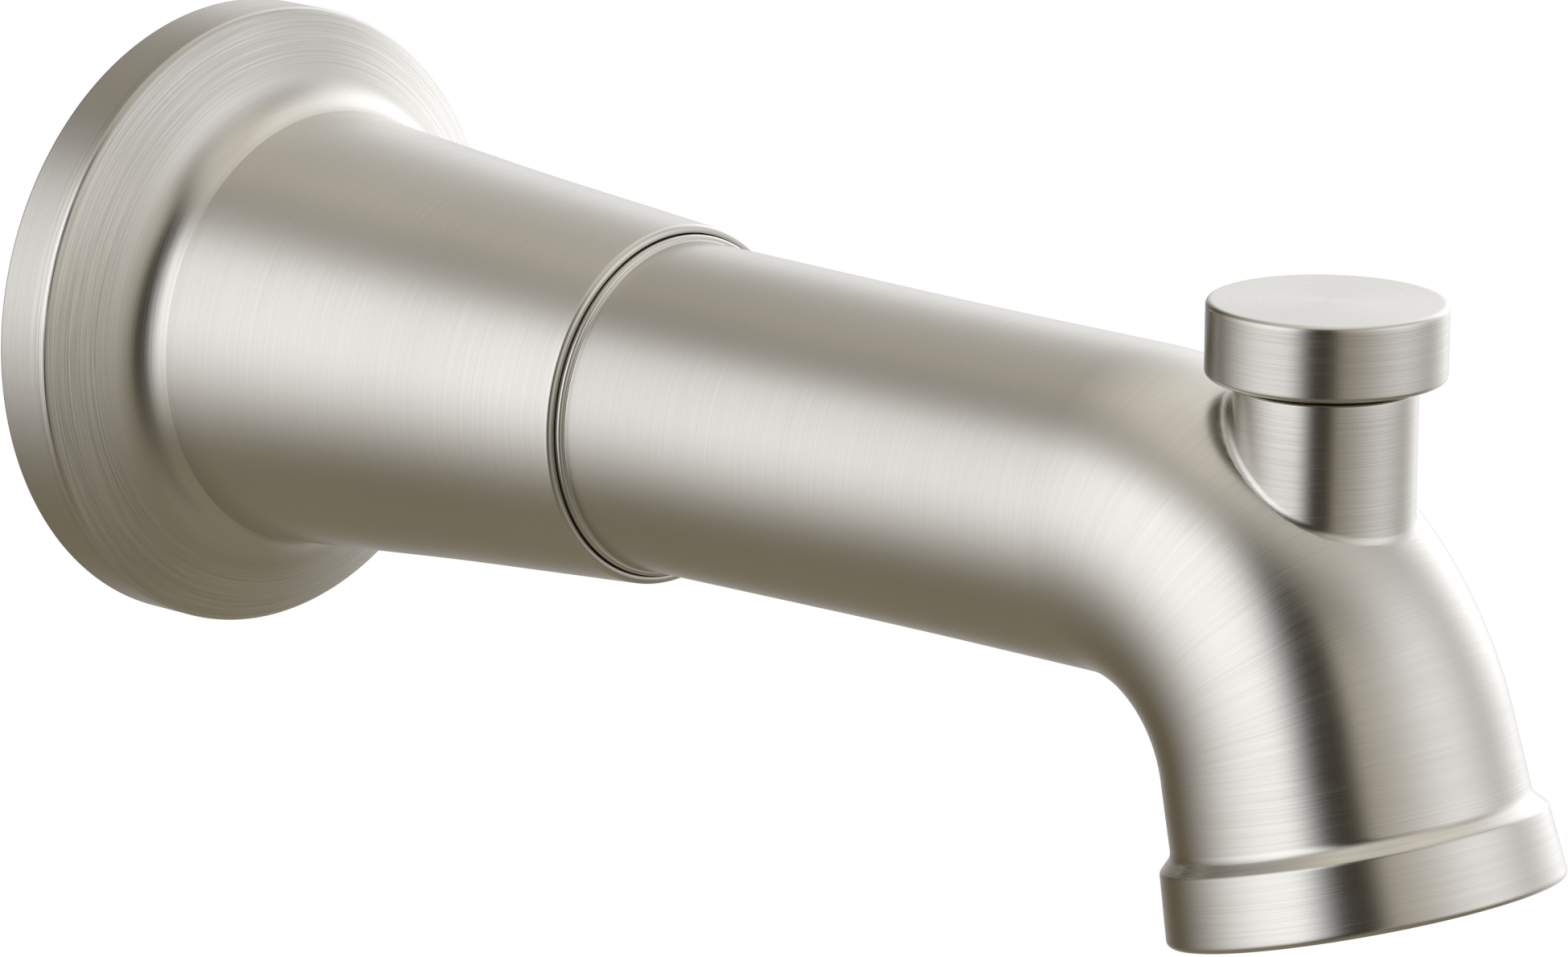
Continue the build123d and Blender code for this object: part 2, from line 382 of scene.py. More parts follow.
def rounded_profile(corners: Sequence[Corner], pitch_mm: float = 3.0, steps: int = 9) -> np.ndarray:
    """Closed outline through corners, each turned into an arc that is tangent to its two sides.

    The arc's centre lies on the corner's bisector at rounding / sin(half the corner's angle). Long sides
    get a point close to each end, which keeps the shading of a flat side flat, and points a pitch apart
    between.

    Args:
        corners: Station along, radius and rounding of each corner, in millimetres.
        pitch_mm: Longest step along a side.
        steps: Steps in each arc.
    Returns:
        Points (station, radius), one row each.
    """
    table = np.asarray(corners, float)
    points, rounding = table[:, :2], table[:, 2:]
    back, ahead = np.roll(points, 1, 0) - points, np.roll(points, -1, 0) - points
    back /= np.linalg.norm(back, axis=1, keepdims=True)
    ahead /= np.linalg.norm(ahead, axis=1, keepdims=True)
    half = np.arccos(np.clip((back * ahead).sum(1, keepdims=True), -1, 1)) / 2
    bisector = back + ahead
    bisector /= np.maximum(np.linalg.norm(bisector, axis=1, keepdims=True), TINY)
    centre = points + bisector * rounding / np.sin(half)
    reach = rounding / np.tan(half)
    first, last = points + back * reach - centre, points + ahead * reach - centre
    sweep = np.maximum(np.pi - 2 * half, TINY)[:, None]
    share = np.linspace(0, 1, steps + 1)[None, :, None]
    arcs = np.sin((1 - share) * sweep) * first[:, None] + np.sin(share * sweep) * last[:, None]
    outline = (centre[:, None] + arcs / np.sin(sweep)).reshape(-1, 2)
    apart = np.linalg.norm(outline - np.roll(outline, 1, 0), axis=1) > TINY
    return spaced(outline[apart], pitch_mm)


def spaced(outline: np.ndarray, pitch_mm: float, hold_mm: float = 0.2) -> np.ndarray:
    """Adds points along the sides of a closed outline.

    Args:
        outline: Points, one row each.
        pitch_mm: Longest step along a side.
        hold_mm: Distance of the first and last added points from a long side's ends.
    Returns:
        The outline with its added points.
    """
    side = np.roll(outline, -1, 0) - outline
    length = np.linalg.norm(side, axis=1)
    count = np.where(length > 4 * hold_mm, np.ceil(length / pitch_mm).astype(int) + 2, 1)
    owner = np.repeat(np.arange(len(outline)), count)
    rank = np.arange(count.sum()) - np.repeat(np.cumsum(count) - count, count)
    hold, inner = hold_mm / length[owner], count[owner] - 2
    even = hold + (1 - 2 * hold) * (rank - 1) / np.maximum(inner, 1)
    share = np.where((rank == 0) | (inner < 1), 0.0, even)
    return outline[owner] + side[owner] * share[:, None]


def grid_object(
    name: str,
    points: np.ndarray,
    brush: np.ndarray,
    finish: bpy.types.Material,
    grain: Union[float, np.ndarray] = 0.7,
) -> bpy.types.Object:
    """Makes a mesh from a grid that closes on itself both ways, such as a turned solid's skin.

    Each cell of the grid is a face. Points that fall together, as at a pole on the axis, become one vertex
    and the faces there become triangles. The signed volume of the faces tells whether they point outwards.

    Args:
        name: Object name.
        points: Millimetre points, shaped (profile, round, 3).
        brush: Distance along the profile of each ring, or of each point, in millimetres.
        finish: Material.
        grain: How deep the brush has cut, for the piece or for each ring. 1 is the finish's own depth.
    Returns:
        The object, at the origin.
    """
    rings, around = points.shape[:2]
    ring, step = np.meshgrid(np.arange(rings), np.arange(around), indexing="ij")
    ring, step = ring.ravel(), step.ravel()
    corner_ring = np.stack([ring, ring, ring + 1, ring + 1], 1)
    corner_step = np.stack([step, step + 1, step + 1, step], 1)
    flat = points.reshape(-1, 3)
    places = np.round(flat, WELD_DIGITS)
    _, first, merged = np.unique(places, axis=0, return_index=True, return_inverse=True)
    faces = merged.reshape(-1)[(corner_ring % rings) * around + corner_step % around]
    run = np.broadcast_to(brush.reshape(rings, -1), (rings, around))
    closed = np.vstack([run, run[-1] + np.linalg.norm(points[0] - points[-1], axis=1)])
    along = closed[corner_ring, corner_step % around]
    uv = np.stack([corner_step / around, along / closed.max()], 2)
    a, b, c, d = (flat[first][faces[:, k]] for k in range(4))
    volume = (np.cross(a, b) * c).sum() + (np.cross(a, c) * d).sum()
    if volume < 0:
        faces, uv = faces[:, ::-1], uv[:, ::-1]
    keep = faces != np.roll(faces, -1, 1)
    whole = keep.sum(1) >= 3
    keep, faces, uv = keep[whole], faces[whole], uv[whole]
    size = keep.sum(1)
    angle = 2 * np.pi * (first % around) / around
    radius = np.linalg.norm(points - points.mean(1, keepdims=True), axis=2).mean(1)[first // around]
    pattern = np.stack([radius * np.cos(angle), radius * np.sin(angle), run.ravel()[first]], 1)

    mesh = bpy.data.meshes.new(name)
    mesh.vertices.add(len(first))
    mesh.vertices.foreach_set("co", (flat[first] * MM).ravel())
    mesh.loops.add(int(size.sum()))
    mesh.loops.foreach_set("vertex_index", faces[keep])
    mesh.polygons.add(len(size))
    mesh.polygons.foreach_set("loop_start", np.cumsum(size) - size)
    mesh.update(calc_edges=True)
    mesh.uv_layers.new(name=UV_MAP).data.foreach_set("uv", uv[keep].ravel())
    mesh.attributes.new(BRUSH, "FLOAT_VECTOR", "POINT").data.foreach_set("vector", pattern.ravel())
    depth = (np.zeros(rings) + grain)[first // around]
    mesh.attributes.new(GRAIN, "FLOAT", "POINT").data.foreach_set("value", depth)
    mesh.shade_smooth()
    mesh.set_sharp_from_angle(angle=SHARP_ANGLE)
    mesh.validate()
    mesh.materials.append(finish)
    piece = bpy.data.objects.new(name, mesh)
    bpy.context.scene.collection.objects.link(piece)
    return piece


def run_length(points: np.ndarray) -> np.ndarray:
    """Distance along a line of points, or along each line of a grid, from its first point."""
    steps = np.linalg.norm(np.diff(points, axis=0), axis=-1)
    return np.concatenate([0 * steps[:1], np.cumsum(steps, axis=0)])


def around_circle(steps: int) -> np.ndarray:
    """Angles of even steps round a full circle, in radians."""
    return np.arange(steps) * 2 * np.pi / steps


def turned(outline: np.ndarray, axis: TurnAxis, steps: int, stem_x: float = 0.0) -> np.ndarray:
    """Carries an outline round an axis: each point (station, radius) becomes a circle of that radius.

    Args:
        outline: Points (station, radius), or (station, radius at each step) where the radius changes.
        axis: Turning axis.
        steps: Steps round the circle.
        stem_x: Distance of the stem axis from the wall, in millimetres.
    Returns:
        Points shaped (profile, round, 3).
    """
    angle = around_circle(steps)[None]
    station, radius = outline[:, :1] + 0 * angle, outline[:, 1:]
    side, rise = radius * np.sin(angle), radius * np.cos(angle)
    if axis is TurnAxis.PIPE:
        return np.stack([station, side, rise], 2)
    return np.stack([stem_x + rise, side, station], 2)


def settle(piece: bpy.types.Object, body: Body, node: str) -> None:
    """Rides a new piece on its body in place of a CAD node, and reports it.

    Args:
        piece: The new piece.
        body: Body that it moves with.
        node: CAD node that it stands for.
    """
    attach(piece, body.value)
    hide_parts(node)
    LOG.info("%s: %d faces, stands for %s", piece.name, len(piece.data.polygons), node)


@dataclass
class FlangeSleeve:
    """Wall flange with a conical face and the tapered sleeve that grows out of it."""

    radius: float = 36.4
    rim: float = 7.2
    edge_round: float = 0.9
    back_round: float = 0.3
    face_rise: float = 0.56
    fillet: float = 7.3
    crease: float = 15.9
    crease_slope: float = 0.287
    crease_round: float = 0.15
    waist: float = 44.0
    waist_radius: float = 22.63
    root_taper: float = 0.096
    blend: float = 600.0
    length: float = 71.9
    lip: float = 0.93
    end_round: float = 0.7
    mouth_round: float = 0.2
    wall: float = 2.4
    back_wall: float = 3.0
    mouth_length: float = 14.0
    mouth_radius: float = 19.5
    spigot_hole: float = 15.7
    hollow_radius: float = 17.6
    groove_depth: float = 2.0
    groove_width: float = 4.0
    hollow_round: float = 0.3
    step_round: float = 0.1
    cone_grain: float = 2.4
    sleeve_grain: float = 0.4
    steps: int = 224

    def outline(self) -> np.ndarray:
        """Closed profile: rim, conical face, fillet, tapered sleeve, mouth, and the hollow to the groove.

        The fillet is a little steeper than the sleeve where they meet, which leaves a fine crease.
        """
        groove = self.radius - self.groove_width - self.back_wall
        crease_radius = self.waist_radius + self.root_taper * (self.waist - self.crease)
        drop = self.radius - crease_radius - self.crease_slope * self.crease
        root = (self.rim + self.face_rise * drop) / (1 - self.face_rise * self.crease_slope)
        root_radius = crease_radius + self.crease_slope * (self.crease - root)
        mouth = self.length - self.mouth_length
        hollow = mouth - self.wall
        return rounded_profile(
            [
                (root, root_radius - self.wall - self.back_wall, self.hollow_round),
                (0, groove - self.back_wall, self.hollow_round),
                (0, groove, self.step_round),
                (self.groove_depth, groove, self.step_round),
                (self.groove_depth, groove + self.groove_width, self.step_round),
                (0, groove + self.groove_width, self.step_round),
                (0, self.radius, self.back_round),
                (self.rim, self.radius, self.edge_round),
                (root, root_radius, self.fillet),
                (self.crease, crease_radius, self.crease_round),
                (self.waist, self.waist_radius, self.blend),
                (self.length, self.mouth_radius + self.lip, self.end_round),
                (self.length, self.mouth_radius, self.mouth_round),
                (mouth, self.mouth_radius, self.step_round),
                (mouth, self.spigot_hole, self.step_round),
                (hollow, self.spigot_hole, self.step_round),
                (hollow, self.hollow_radius, self.step_round),
            ]
        )

    def build(self, finish: bpy.types.Material) -> None:
        """Makes the flange and sleeve as one turned piece, with the cone brushed deeper than the sleeve.

        Args:
            finish: Material.
        """
        outline = self.outline()
        points = turned(outline, TurnAxis.PIPE, self.steps)
        station, radius = outline.T
        cone = (station > self.rim - self.edge_round) & (radius > self.waist_radius + self.fillet)
        grain = np.where(cone, self.cone_grain, self.sleeve_grain)
        piece = grid_object("turned_flange_sleeve", points, run_length(outline), finish, grain)
        settle(piece, Body.SPOUT, "flange_sleeve")


@dataclass
class SpoutTube:
    """Tube that leaves the sleeve, bends down to the banded outlet, and carries the knob's boss."""

    collar_radius: float = 19.4
    collar_end: float = 72.6
    collar_round: float = 0.45
    collar_root_round: float = 0.25
    collar_start: float = 58.0
    radius: float = 18.73
    joint: float = 71.9
    waist: float = 112.0
    waist_radius: float = 18.07
    blend: float = 1600.0
    elbow_start: float = 139.3
    start_radius: float = 17.97
    middle_radius: float = 18.28
    elbow_radius: float = 29.4
    elbow_angle: float = math.radians(74.9)
    end_radius: float = 18.97
    nose: float = 7.4
    nose_radius: float = 19.35
    band_radius: float = 20.82
    band_flare: float = 0.68
    band_height: float = 7.9
    band_fillet: float = 1.6
    band_round: float = 0.7
    mouth_chamfer: float = 1.0
    wall: float = 2.6
    spigot_radius: float = 15.6
    spigot_start: float = 51.9
    spigot_bore: float = 12.6
    stem_x: float = STEM_X
    boss_radius: float = 9.75
    boss_top: float = 17.88
    boss_round: float = 0.3
    boss_fillet: float = 1.4
    boss_bore: float = 6.1
    seat_radius: float = 7.5
    seat_depth: float = 1.88
    web_top: float = -16.5
    web_thickness: float = 2.5
    web_hole: float = 10.3
    web_limit: float = 40.0
    web_root: float = 1.0
    boss_root: float = 0.8
    spigot_round: float = 0.5
    inner_round: float = 0.2
    step_round: float = 0.1
    pitch: float = 1.3
    tube_grain: float = 0.3
    nose_grain: float = 0.7
    boss_grain: float = 0.8
    steps: int = 200
    side_steps: int = 11
    fillet_steps: int = 12

    def hollowing(self, share: np.ndarray) -> np.ndarray:
        """How far the elbow's side dips below a straight run of its radius, by the share of its turn."""
        sag = (self.start_radius + self.end_radius) / 2 - self.middle_radius
        return 4 * sag * share * (1 - share)

    def section(self, run: np.ndarray, rise: np.ndarray) -> np.ndarray:
        """Outer radius of the elbow's section that a point lies in.

        Args:
            run: Distance of the point beyond the elbow's start, in millimetres.
            rise: Height of the point above the elbow's centre, in millimetres.
        Returns:
            Radius, in millimetres.
        """
        share = np.clip(np.arctan2(run, rise) / self.elbow_angle, 0, 1)
        return self.start_radius + (self.end_radius - self.start_radius) * share - self.hollowing(share)

    def carried(self, outline: np.ndarray) -> np.ndarray:
        """Carries an outline along the centre line: straight, then an arc, then straight down the outlet.

        The station is measured along the centre line from the elbow's start. A point stands off the centre
        line by its radius, towards the elbow's outer side turned by the step's angle about the line.

        Args:
            outline: Points (station, radius).
        Returns:
            Points shaped (profile, round, 3).
        """
        station = outline[:, :1]
        turn = np.clip(station / self.elbow_radius, 0, self.elbow_angle)
        radius = outline[:, 1:] - self.hollowing(turn / self.elbow_angle)
        before = np.minimum(station, 0)
        after = np.maximum(station - self.elbow_radius * self.elbow_angle, 0)
        reach = self.elbow_start + before + self.elbow_radius * np.sin(turn) + after * np.cos(turn)
        drop = self.elbow_radius * (1 - np.cos(turn)) + after * np.sin(turn)
        angle = around_circle(self.steps)[None]
        out, side = radius * np.cos(angle), radius * np.sin(angle)
        return np.stack([reach + out * np.sin(turn), side, out * np.cos(turn) - drop], 2)

    def outline(self) -> np.ndarray:
        """Closed profile: spigot, collar, tube, elbow, band and mouth, and the bore back to the spigot."""
        bend = self.elbow_radius * self.elbow_angle
        band = bend + self.nose + self.band_radius - self.nose_radius
        rim, start = band + self.band_height, -self.elbow_start
        bore, end_bore = self.start_radius - self.wall, self.end_radius - self.wall
        return rounded_profile(
            [
                (start + self.spigot_start, self.spigot_bore, self.inner_round),
                (start + self.spigot_start, self.spigot_radius, self.spigot_round),
                (start + self.collar_start, self.spigot_radius, self.step_round),
                (start + self.collar_start, self.collar_radius, self.step_round),
                (start + self.collar_end, self.collar_radius, self.collar_round),
                (start + self.collar_end, self.radius, self.collar_root_round),
                (start + self.waist, self.waist_radius, self.blend),
                (0, self.start_radius, 0),
                (bend, self.end_radius, 0),
                (bend + self.nose, self.nose_radius, self.band_fillet),
                (band, self.band_radius, self.band_round),
                (rim, self.band_radius + self.band_flare, self.band_round),
                (rim, end_bore + self.mouth_chamfer, self.inner_round),
                (rim - self.mouth_chamfer, end_bore, self.inner_round),
                (bend, end_bore, 0),
                (0, bore, 0),
                (start + self.joint, bore, self.inner_round),
                (start + self.joint - self.wall, self.spigot_bore, self.inner_round),
            ],
            self.pitch,
        )

    def elbow_height(self, x: np.ndarray, y: np.ndarray) -> np.ndarray:
        """Height of the elbow's upper side above a point of the XY plane.

        The elbow is part of a ring: the distance from the ring's axis is its radius plus the root of the
        section's radius squared less Y squared. The section grows with the turn, so the height is worked
        out again from the turn that it gives, until it holds still.

        Args:
            x: Distance from the wall, in millimetres.
            y: Distance from the middle plane, in millimetres.
        Returns:
            Height, in millimetres.
        """
        run, radius = x - self.elbow_start, self.middle_radius + 0 * x
        for _ in range(HEIGHT_ROUNDS):
            ring = self.elbow_radius + np.sqrt(np.maximum(radius**2 - y**2, 0))
            rise = np.sqrt(np.maximum(ring**2 - run**2, 0))
            radius = self.section(run, rise)
        return rise - self.elbow_radius

    def boss_points(self) -> tuple[np.ndarray, np.ndarray]:
        """Skin of the boss: top, side, fillet that runs out on the elbow, and underside in the wall.

        At each angle the elbow is a slanted line. The fillet is the arc that is tangent to the boss's
        upright side and to that line, a tangent length of fillet / tan(half the angle between them) from
        their corner.

        Returns:
            Points shaped (profile, round, 3), and the distance of each point along the profile.
        """
        angle = around_circle(self.steps)[None]

        def height(out: np.ndarray) -> np.ndarray:
            """Height of the elbow at a distance from the boss's axis."""
            x, y = self.stem_x + out * np.cos(angle), out * np.sin(angle)
            return self.elbow_height(x, y)

        side = self.boss_radius + 0 * angle
        foot = height(side)
        slope = np.arctan2(height(side + self.boss_fillet) - foot, self.boss_fillet)
        half = (np.pi / 2 - slope) / 2
        reach = self.boss_fillet / np.tan(half)
        corner = np.stack([side, foot])
        line = np.stack([np.cos(slope), np.sin(slope)])
        bisector = np.stack([np.sin(half), np.cos(half)])
        centre = corner + bisector * self.boss_fillet / np.sin(half)
        first = corner + np.stack([0 * reach, reach]) - centre
        last = corner + line * reach - centre
        sweep, share = np.pi - 2 * half, np.linspace(0, 1, self.fillet_steps + 1)[:, None, None, None]
        arc = centre + (np.sin((1 - share) * sweep) * first + np.sin(share * sweep) * last) / np.sin(sweep)
        arc = arc[:, :, 0]
        start, floor = self.boss_top - 2 * self.boss_round, self.boss_top - self.seat_depth
        top = rounded_profile(
            [
                (start, self.boss_radius, 0),
                (floor, self.boss_bore, 0),
                (floor, self.seat_radius, self.step_round),
                (self.boss_top, self.seat_radius, self.step_round),
                (self.boss_top, self.boss_radius, self.boss_round),
            ]
        )
        top = top[np.argmax((top == [floor, self.boss_bore]).all(1)) :]
        cap = np.stack([top[:, 1:] + 0 * angle, top[:, :1] + 0 * angle], 1)
        share = np.linspace(0, 1, self.side_steps + 1)[1:-1, None]
        wall = np.stack([side + 0 * share, start + (foot + reach - start) * share], 1)
        radii = np.array([self.boss_radius + self.boss_root, self.boss_radius, self.boss_bore])
        under = radii[:, None] + 0 * angle
        under = np.stack([under, height(under) - self.wall / 2], 1)
        skin = np.concatenate([cap, wall, arc, under])
        x = self.stem_x + skin[:, 0] * np.cos(angle)
        points = np.stack([x, skin[:, 0] * np.sin(angle), skin[:, 1]], 2)
        return points, run_length(points)

    def web_points(self) -> tuple[np.ndarray, np.ndarray]:
        """Skin of the web across the elbow that holds the valve seat: a flat plate with a round hole.

        At each angle the plate runs from the hole to the wall of the bore. That distance is found by
        halving a span until its end meets the wall.

        Returns:
            Points shaped (profile, round, 3), and the distance of each ring along the profile.
        """
        angle = around_circle(self.steps)[None]
        level = np.array([[self.web_top], [self.web_top - self.web_thickness]])
        none = 0 * angle * level
        near, far = self.web_hole + none, self.web_limit + none
        for _ in range(HALVINGS):
            middle = (near + far) / 2
            run = self.stem_x + middle * np.cos(angle) - self.elbow_start
            rise = level + self.elbow_radius
            ring = np.hypot(run, rise) - self.elbow_radius
            inside = np.hypot(ring, middle * np.sin(angle)) < self.section(run, rise) - self.wall
            near, far = np.where(inside, middle, near), np.where(inside, far, middle)
        hole, end = self.web_hole + 0 * angle, near + self.web_root
        middle = (hole + near) / 2
        out = np.stack([hole[0], middle[0], end[0], end[1], middle[1], hole[0]])
        top, bottom = level[:, 0]
        rise = np.array([top, top, top, bottom, bottom, bottom])[:, None] + 0 * angle
        points = np.stack([self.stem_x + out * np.cos(angle), out * np.sin(angle), rise], 2)
        return points, np.arange(len(out)) * self.web_thickness

    def build(self, finish: bpy.types.Material) -> None:
        """Makes the tube, its boss and its web, which together stand for the cast spout.

        Args:
            finish: Material.
        """
        outline = self.outline()
        turn = np.clip(outline[:, 0] / (self.elbow_radius * self.elbow_angle), 0, 1)
        grain = self.tube_grain + (self.nose_grain - self.tube_grain) * turn**2
        tube = grid_object("spout_tube", self.carried(outline), run_length(outline), finish, grain)
        settle(tube, Body.SPOUT, "spout_body")
        skins = {"spout_boss": self.boss_points(), "spout_web": self.web_points()}
        for name, (points, brush) in skins.items():
            piece = grid_object(name, points, brush, finish, self.boss_grain)
            settle(piece, Body.SPOUT, "spout_body")


@dataclass
class PullKnob:
    """Round cap that lifts the diverter, with softened edges and a blind socket for the rod."""

    stem_x: float = STEM_X
    bottom: float = 18.75
    height: float = 8.1
    radius: float = 12.75
    edge_round: float = 0.6
    socket_depth: float = 5.0
    socket_round: float = 0.2
    rod_radius: float = 2.4
    pitch: float = 1.5
    side_grain: float = 0.8
    top_grain: float = 0.1
    steps: int = 192

    def build(self, finish: bpy.types.Material) -> None:
        """Makes the knob as one turned piece, with its side brushed deeper than its top.

        Args:
            finish: Material.
        """
        top, socket = self.bottom + self.height, self.bottom + self.socket_depth
        outline = rounded_profile(
            [
                (socket, 0, 0),
                (socket, self.rod_radius, 0),
                (self.bottom, self.rod_radius, self.socket_round),
                (self.bottom, self.radius, self.edge_round),
                (top, self.radius, self.edge_round),
                (top, 0, 0),
            ],
            self.pitch,
        )
        points = turned(outline, TurnAxis.STEM, self.steps, self.stem_x)
        grain = np.where(outline[:, 1] < self.radius - self.edge_round, self.top_grain, self.side_grain)
        piece = grid_object("pull_knob", points, run_length(outline), finish, grain)
        settle(piece, Body.DIVERTER, "lift_knob")


@dataclass
class InletAdapter:
    """Brass adapter behind the flange, with the pipe thread that the CAD leaves as a plain bore."""

    back: float = 12.0
    radius: float = 14.0
    nose_start: float = 51.9
    nose_end: float = 65.9
    nose_radius: float = 12.55
    ring_start: float = 58.05
    ring_end: float = 59.75
    ring_radius: float = 10.9
    bore: float = 7.5
    edge_round: float = 0.5
    bore_round: float = 0.3
    thread_radius: float = 9.9
    thread_length: float = 17.0
    thread_depth: float = 1.1
    pitch: float = 1.814
    rings_per_pitch: int = 14
    steps: int = 144

    def thread(self) -> np.ndarray:
        """Threaded wall of the bore.

        The radius rises from crest to root as a cosine of the phase, which is the station over the pitch
        plus the share of the turn, so that the groove climbs one pitch a turn. A countersink one pitch long
        opens the back end, and over the last two pitches the groove runs out.

        Returns:
            Rows of a station and the radius at each step round the circle.
        """
        count = round(self.thread_length / self.pitch * self.rings_per_pitch)
        along = np.linspace(0, self.thread_length, count)[:, None]
        turn = around_circle(self.steps)[None]
        groove = 0.5 - 0.5 * np.cos(2 * np.pi * along / self.pitch + turn)
        groove = groove * np.clip((self.thread_length - along) / (2 * self.pitch), 0, 1)
        countersink = np.clip(1 - along / self.pitch, 0, 1)
        radius = self.thread_radius + self.thread_depth * np.maximum(groove, countersink)
        return np.hstack([self.back + along, radius])

    def build(self, finish: bpy.types.Material) -> None:
        """Makes the adapter as one turned piece: thread, bore, nose with its ring groove, and side.

        Args:
            finish: Material.
        """
        thread = self.thread()
        end = self.back + self.thread_length
        outline = rounded_profile(
            [
                (self.back, self.thread_radius + self.thread_depth, 0),
                (end, self.thread_radius, 0),
                (end, self.bore, 0),
                (self.nose_end, self.bore, self.bore_round),
                (self.nose_end, self.nose_radius, self.edge_round),
                (self.ring_end, self.nose_radius, 0),
                (self.ring_end, self.ring_radius, 0),
                (self.ring_start, self.ring_radius, 0),
                (self.ring_start, self.nose_radius, 0),
                (self.nose_start, self.nose_radius, 0),
                (self.nose_start, self.radius, 0),
                (self.back, self.radius, self.edge_round),
            ]
        )
        rest = outline[np.argmax((outline == [end, self.thread_radius]).all(1)) + 1 :]
        whole = np.vstack([thread, np.hstack([rest[:, :1], np.repeat(rest[:, 1:], self.steps, 1)])])
        points = turned(whole, TurnAxis.PIPE, self.steps)
        piece = grid_object("threaded_adapter", points, run_length(whole[:, :2]), finish)
        settle(piece, Body.SPOUT, "inlet_adapter")


@dataclass
class ValveWorks:
    """The small fittings inside, which keep their CAD shapes and get their finishes here."""

    finishes: tuple[tuple[Finish, tuple[str, ...]], ...] = (
        (STEEL, ("lift_rod", "gate_nut")),
        (STEM_BRASS, ("stem_bushing", "diverter_seat")),
        (RUBBER, ("gate_seal", "stem_o_ring", "adapter_o_ring", "sleeve_o_ring")),
        (FOAM, ("wall_gasket",)),
        (ACETAL, ("diverter_gate", "stem_washer")),
    )

    def dress(self) -> None:
        """Gives each CAD node its finish."""
        for finish, nodes in self.finishes:
            material = finish.material()
            for node in nodes:
                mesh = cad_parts[node].data
                mesh.materials.clear()
                mesh.materials.append(material)
                LOG.info("%s: %s", node, finish.name)


def towards(azimuth: float, elevation: float) -> Vector:
    """Unit vector from the spout, by azimuth from -Y towards +X and by elevation, in degrees."""
    turn, rise = math.radians(azimuth), math.radians(elevation)
    return Vector((math.sin(turn) * math.cos(rise), -math.cos(turn) * math.cos(rise), math.sin(rise)))


def soft_edge(
    tree: bpy.types.NodeTree, angle: bpy.types.NodeSocket, edge: Span, falls: bool = False
) -> bpy.types.NodeSocket:
    """Adds a smooth step between 0 and 1 across an angle of the sky.

    Args:
        tree: Node tree of the sky.
        angle: Azimuth or elevation, in radians.
        edge: Angle of the step's middle and half its width, in degrees.
        falls: Whether the step goes down from 1 to 0.
    Returns:
        The step's value.
    """
    middle, soft = edge
    span = (math.radians(middle - soft), math.radians(middle + soft))
    return mapped(tree, angle, span[::-1] if falls else span, interpolation_type="SMOOTHSTEP")


@dataclass(frozen=True)
class LightCard:
    """Large sheet of soft light in the studio's sky, with each edge's angle and softness in degrees."""

    name: str
    colour: str
    radiance: float
    left: Span
    right: Span
    bottom: Span
    top: Span

    def glow(
        self, tree: bpy.types.NodeTree, azimuth: bpy.types.NodeSocket, elevation: bpy.types.NodeSocket
    ) -> bpy.types.NodeSocket:
        """Adds the card's light, the product of its four soft edges.

        Args:
            tree: Node tree of the sky.
            azimuth: Azimuth from -Y towards +X, in radians.
            elevation: Elevation, in radians.
        Returns:
            The card's light.
        """
        middle = math.radians((self.left[0] + self.right[0]) / 2)
        limits = {1: middle + math.pi, 2: middle - math.pi}
        near = add_node(tree, "ShaderNodeMath", {0: azimuth, **limits}, operation="WRAP").outputs[0]
        edges = (
            soft_edge(tree, near, self.left),
            soft_edge(tree, near, self.right, falls=True),
            soft_edge(tree, elevation, self.bottom),
            soft_edge(tree, elevation, self.top, falls=True),
        )
        share = self.radiance
        for edge in edges:
            share = product(tree, edge, share)
        colour = to_linear(self.colour)[:3]
        lit = add_node(tree, "ShaderNodeVectorMath", {0: colour, "Scale": share}, operation="SCALE")
        return lit.outputs[0]


# Edges that lie beyond the whole sky, for a card that has none on that side.
NO_SIDES: tuple[Span, Span] = ((-360, 1), (360, 1))
NO_BOTTOM: Span = (-180, 1)
NO_TOP: Span = (180, 1)


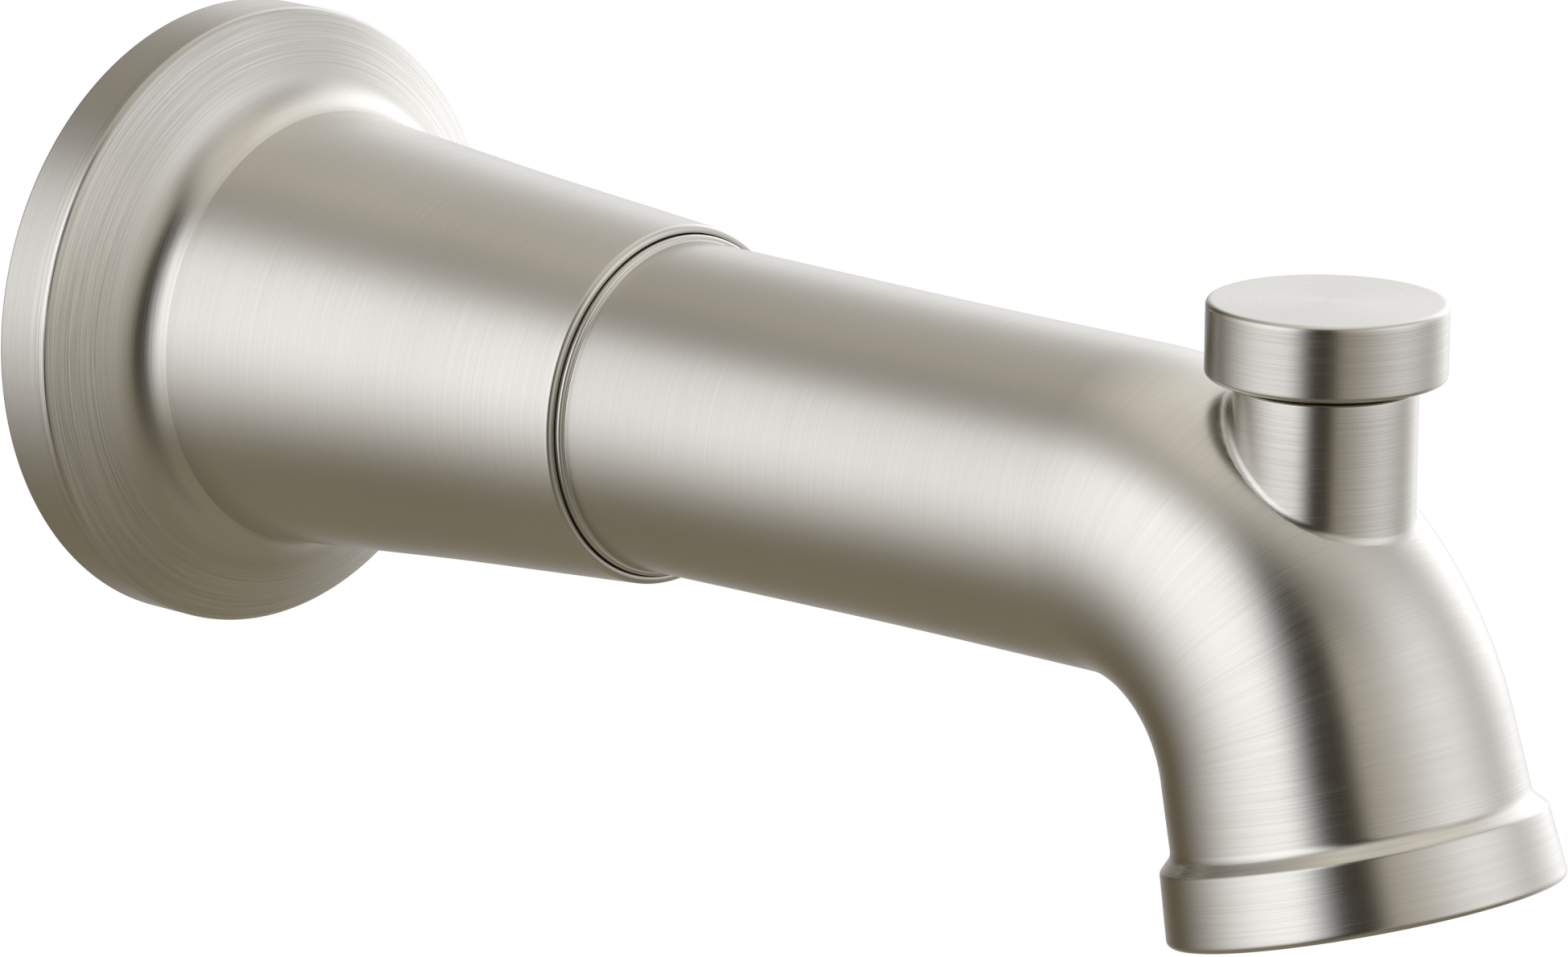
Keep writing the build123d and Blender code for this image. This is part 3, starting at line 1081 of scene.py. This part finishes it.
@dataclass
class Studio:
    """Camera at the photograph's angle, soft light cards in a dark room, and a plain pale floor."""

    eye_mm: tuple[float, float, float] = (692.1, -663.52, 219.28)
    azimuth: float = 42.293
    elevation: float = 14.073
    roll: float = 0.428
    focal_px: float = 10364.237
    image_px: float = 1950.0
    sensor: float = 36.0
    clip: Span = (0.01, 100.0)
    floor_height: float = -0.6
    floor_size: float = 40.0
    cards: tuple[LightCard, ...] = (
        LightCard("key", "#f3f6fe", 1.65, (-57, 40), (13, 14), (-23, 32), (46, 17)),
        LightCard("fill", "#f3f6ff", 1.42, (86, 38), (154, 60), (-20, 26), (49, 22)),
        LightCard("fill_wing", "#fffbf1", 0.56, (49, 7), (77, 34), (-13, 45), (41, 10)),
        LightCard("back", "#f5f8ff", 2.1, (170, 26), (222, 38), (-18, 42), (47, 42)),
        LightCard("overhead", "#fffefa", 0.76, *NO_SIDES, (56, 18), NO_TOP),
        LightCard("loft", "#fffefa", 0.24, (200, 35), (278, 28), (36, 10), (70, 20)),
        LightCard("ground", "#fff9e6", 0.2, *NO_SIDES, NO_BOTTOM, (-35, 36)),
        LightCard("room", "#ffe6b4", 0.085, (50, 20), (370, 15), NO_BOTTOM, NO_TOP),
    )
    shade: str = "#2a2519"

    def camera(self) -> None:
        """Sets the camera from its place, its angles and its focal length in pixels."""
        back = towards(self.azimuth, self.elevation)
        turn, roll = math.radians(self.azimuth), math.radians(self.roll)
        right = Vector((math.cos(turn), math.sin(turn), 0))
        up = back.cross(right)
        across = right * math.cos(roll) + up * math.sin(roll)
        rise = up * math.cos(roll) - right * math.sin(roll)
        data = bpy.data.cameras.new("camera")
        data.sensor_width = self.sensor
        data.lens = self.focal_px / self.image_px * self.sensor
        data.clip_start, data.clip_end = self.clip
        camera = bpy.data.objects.new("camera", data)
        turned_axes = Matrix((across, rise, back)).transposed().to_4x4()
        camera.matrix_world = Matrix.Translation(Vector(self.eye_mm) * MM) @ turned_axes
        bpy.context.scene.collection.objects.link(camera)
        bpy.context.scene.camera = camera

    def sky(self) -> None:
        """Sets the light cards into a dark room. The camera itself sees plain white behind the spout."""
        world = bpy.data.worlds.new("studio_sky")
        world.use_nodes = True
        tree = world.node_tree
        tree.nodes.clear()
        ray = add_node(tree, "ShaderNodeTexCoord").outputs["Generated"]
        x, y, z = add_node(tree, "ShaderNodeSeparateXYZ", {0: ray}).outputs
        front = product(tree, y, -1.0)
        azimuth = add_node(tree, "ShaderNodeMath", {0: x, 1: front}, operation="ARCTAN2").outputs[0]
        elevation = add_node(tree, "ShaderNodeMath", {0: z}, operation="ARCSINE").outputs[0]
        light = to_linear(self.shade)[:3]
        for card in self.cards:
            glow = card.glow(tree, azimuth, elevation)
            light = add_node(tree, "ShaderNodeVectorMath", {0: glow, 1: light}, operation="ADD").outputs[0]
        path = add_node(tree, "ShaderNodeLightPath").outputs["Is Camera Ray"]
        seen = blended(tree, path, light, to_linear(WHITE))
        backdrop = add_node(tree, "ShaderNodeBackground", {"Color": seen})
        add_node(tree, "ShaderNodeOutputWorld", {0: backdrop.outputs[0]})
        bpy.context.scene.world = world

    def floor(self) -> None:
        """Lays the pale floor, lit evenly and left out of the metal's reflections."""
        half = self.floor_size / 2
        corners = np.array([[-1, -1], [1, -1], [1, 1], [-1, 1]]) * half
        points = np.column_stack([corners, np.full(len(corners), self.floor_height)])
        mesh = bpy.data.meshes.new("floor")
        mesh.from_pydata(points.tolist(), [], [range(len(corners))])
        material, tree = new_material("pale_floor")
        glow = add_node(tree, "ShaderNodeEmission", {"Color": to_linear(WHITE), "Strength": 1.0})
        clear = add_node(tree, "ShaderNodeBsdfTransparent")
        face = add_node(tree, "ShaderNodeNewGeometry")
        sheet = add_node(
            tree,
            "ShaderNodeMixShader",
            {0: face.outputs["Backfacing"], 1: glow.outputs[0], 2: clear.outputs[0]},
        )
        add_node(tree, "ShaderNodeOutputMaterial", {"Surface": sheet.outputs[0]})
        mesh.materials.append(material)
        floor = bpy.data.objects.new("floor", mesh)
        floor.visible_glossy = floor.visible_diffuse = False
        bpy.context.scene.collection.objects.link(floor)

    def build(self) -> None:
        """Sets up the camera, the lights and the floor."""
        self.camera()
        self.sky()
        self.floor()
        bpy.context.scene.view_settings.view_transform = "Standard"
        LOG.info("studio: lit by %s", ", ".join(card.name for card in self.cards))


def main() -> None:
    """Builds and dresses the spout, piece by piece, then sets the stage."""
    logging.basicConfig(level=logging.INFO, format="%(message)s")
    nickel = NICKEL.material()
    FlangeSleeve().build(nickel)
    SpoutTube().build(nickel)
    PullKnob().build(nickel)
    InletAdapter().build(BRASS.material())
    ValveWorks().dress()
    Studio().build()


if __name__ == "__main__":
    main()
